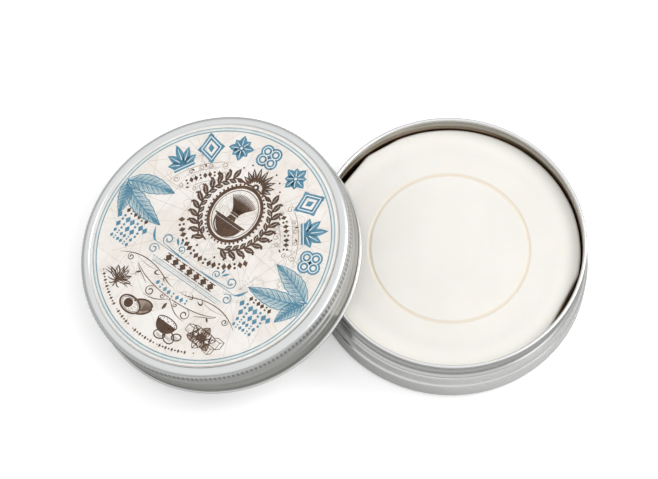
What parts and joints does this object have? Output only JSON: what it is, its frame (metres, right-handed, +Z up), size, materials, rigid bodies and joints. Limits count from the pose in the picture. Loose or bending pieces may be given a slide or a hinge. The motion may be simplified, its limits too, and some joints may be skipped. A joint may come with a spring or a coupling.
{
  "type": "shaving soap puck in screw-top tin",
  "caption": "Creamy round shaving soap puck in a shallow aluminium tin, its knurled screw lid leaning on the open rim.",
  "frame": {"origin": "on the table, under the middle of the bounding box of the open tin and the lid that leans on it", "axes": "+Z up along the tin's axis, +X from the lid towards the tin, +Y across both"},
  "size_m": [0.1498, 0.0828, 0.0357],
  "materials": {
    "tin_metal": "satin",
    "lid_metal": "satin",
    "soap": "satin",
    "label_paper": "matte",
    "liner_foam": "matte"
  },
  "bodies": {
    "tin": {"tin_base": "tin_metal", "base_label": "label_paper"},
    "puck": {"soap_puck": "soap"},
    "liner": {"lid_liner": "liner_foam"},
    "lid": {"lid_shell": "lid_metal", "lid_label": "label_paper"}
  },
  "joints": [
    {"name": "puck_lift", "type": "slide", "parent": "tin", "child": "puck", "axis": [0, 0, 1], "range_m": [0, 0.005]},
    {"name": "lid_lift", "type": "slide", "parent": "tin", "child": "liner", "axis": [-0.2814, 0, 0.9596], "range_m": [0, 0.06]},
    {"name": "lid_turn", "type": "hinge", "parent": "liner", "child": "lid", "pos_m": [-0.03204, 0, 0.01155], "axis": [-0.2814, 0, 0.9596], "continuous": true}
  ]
}
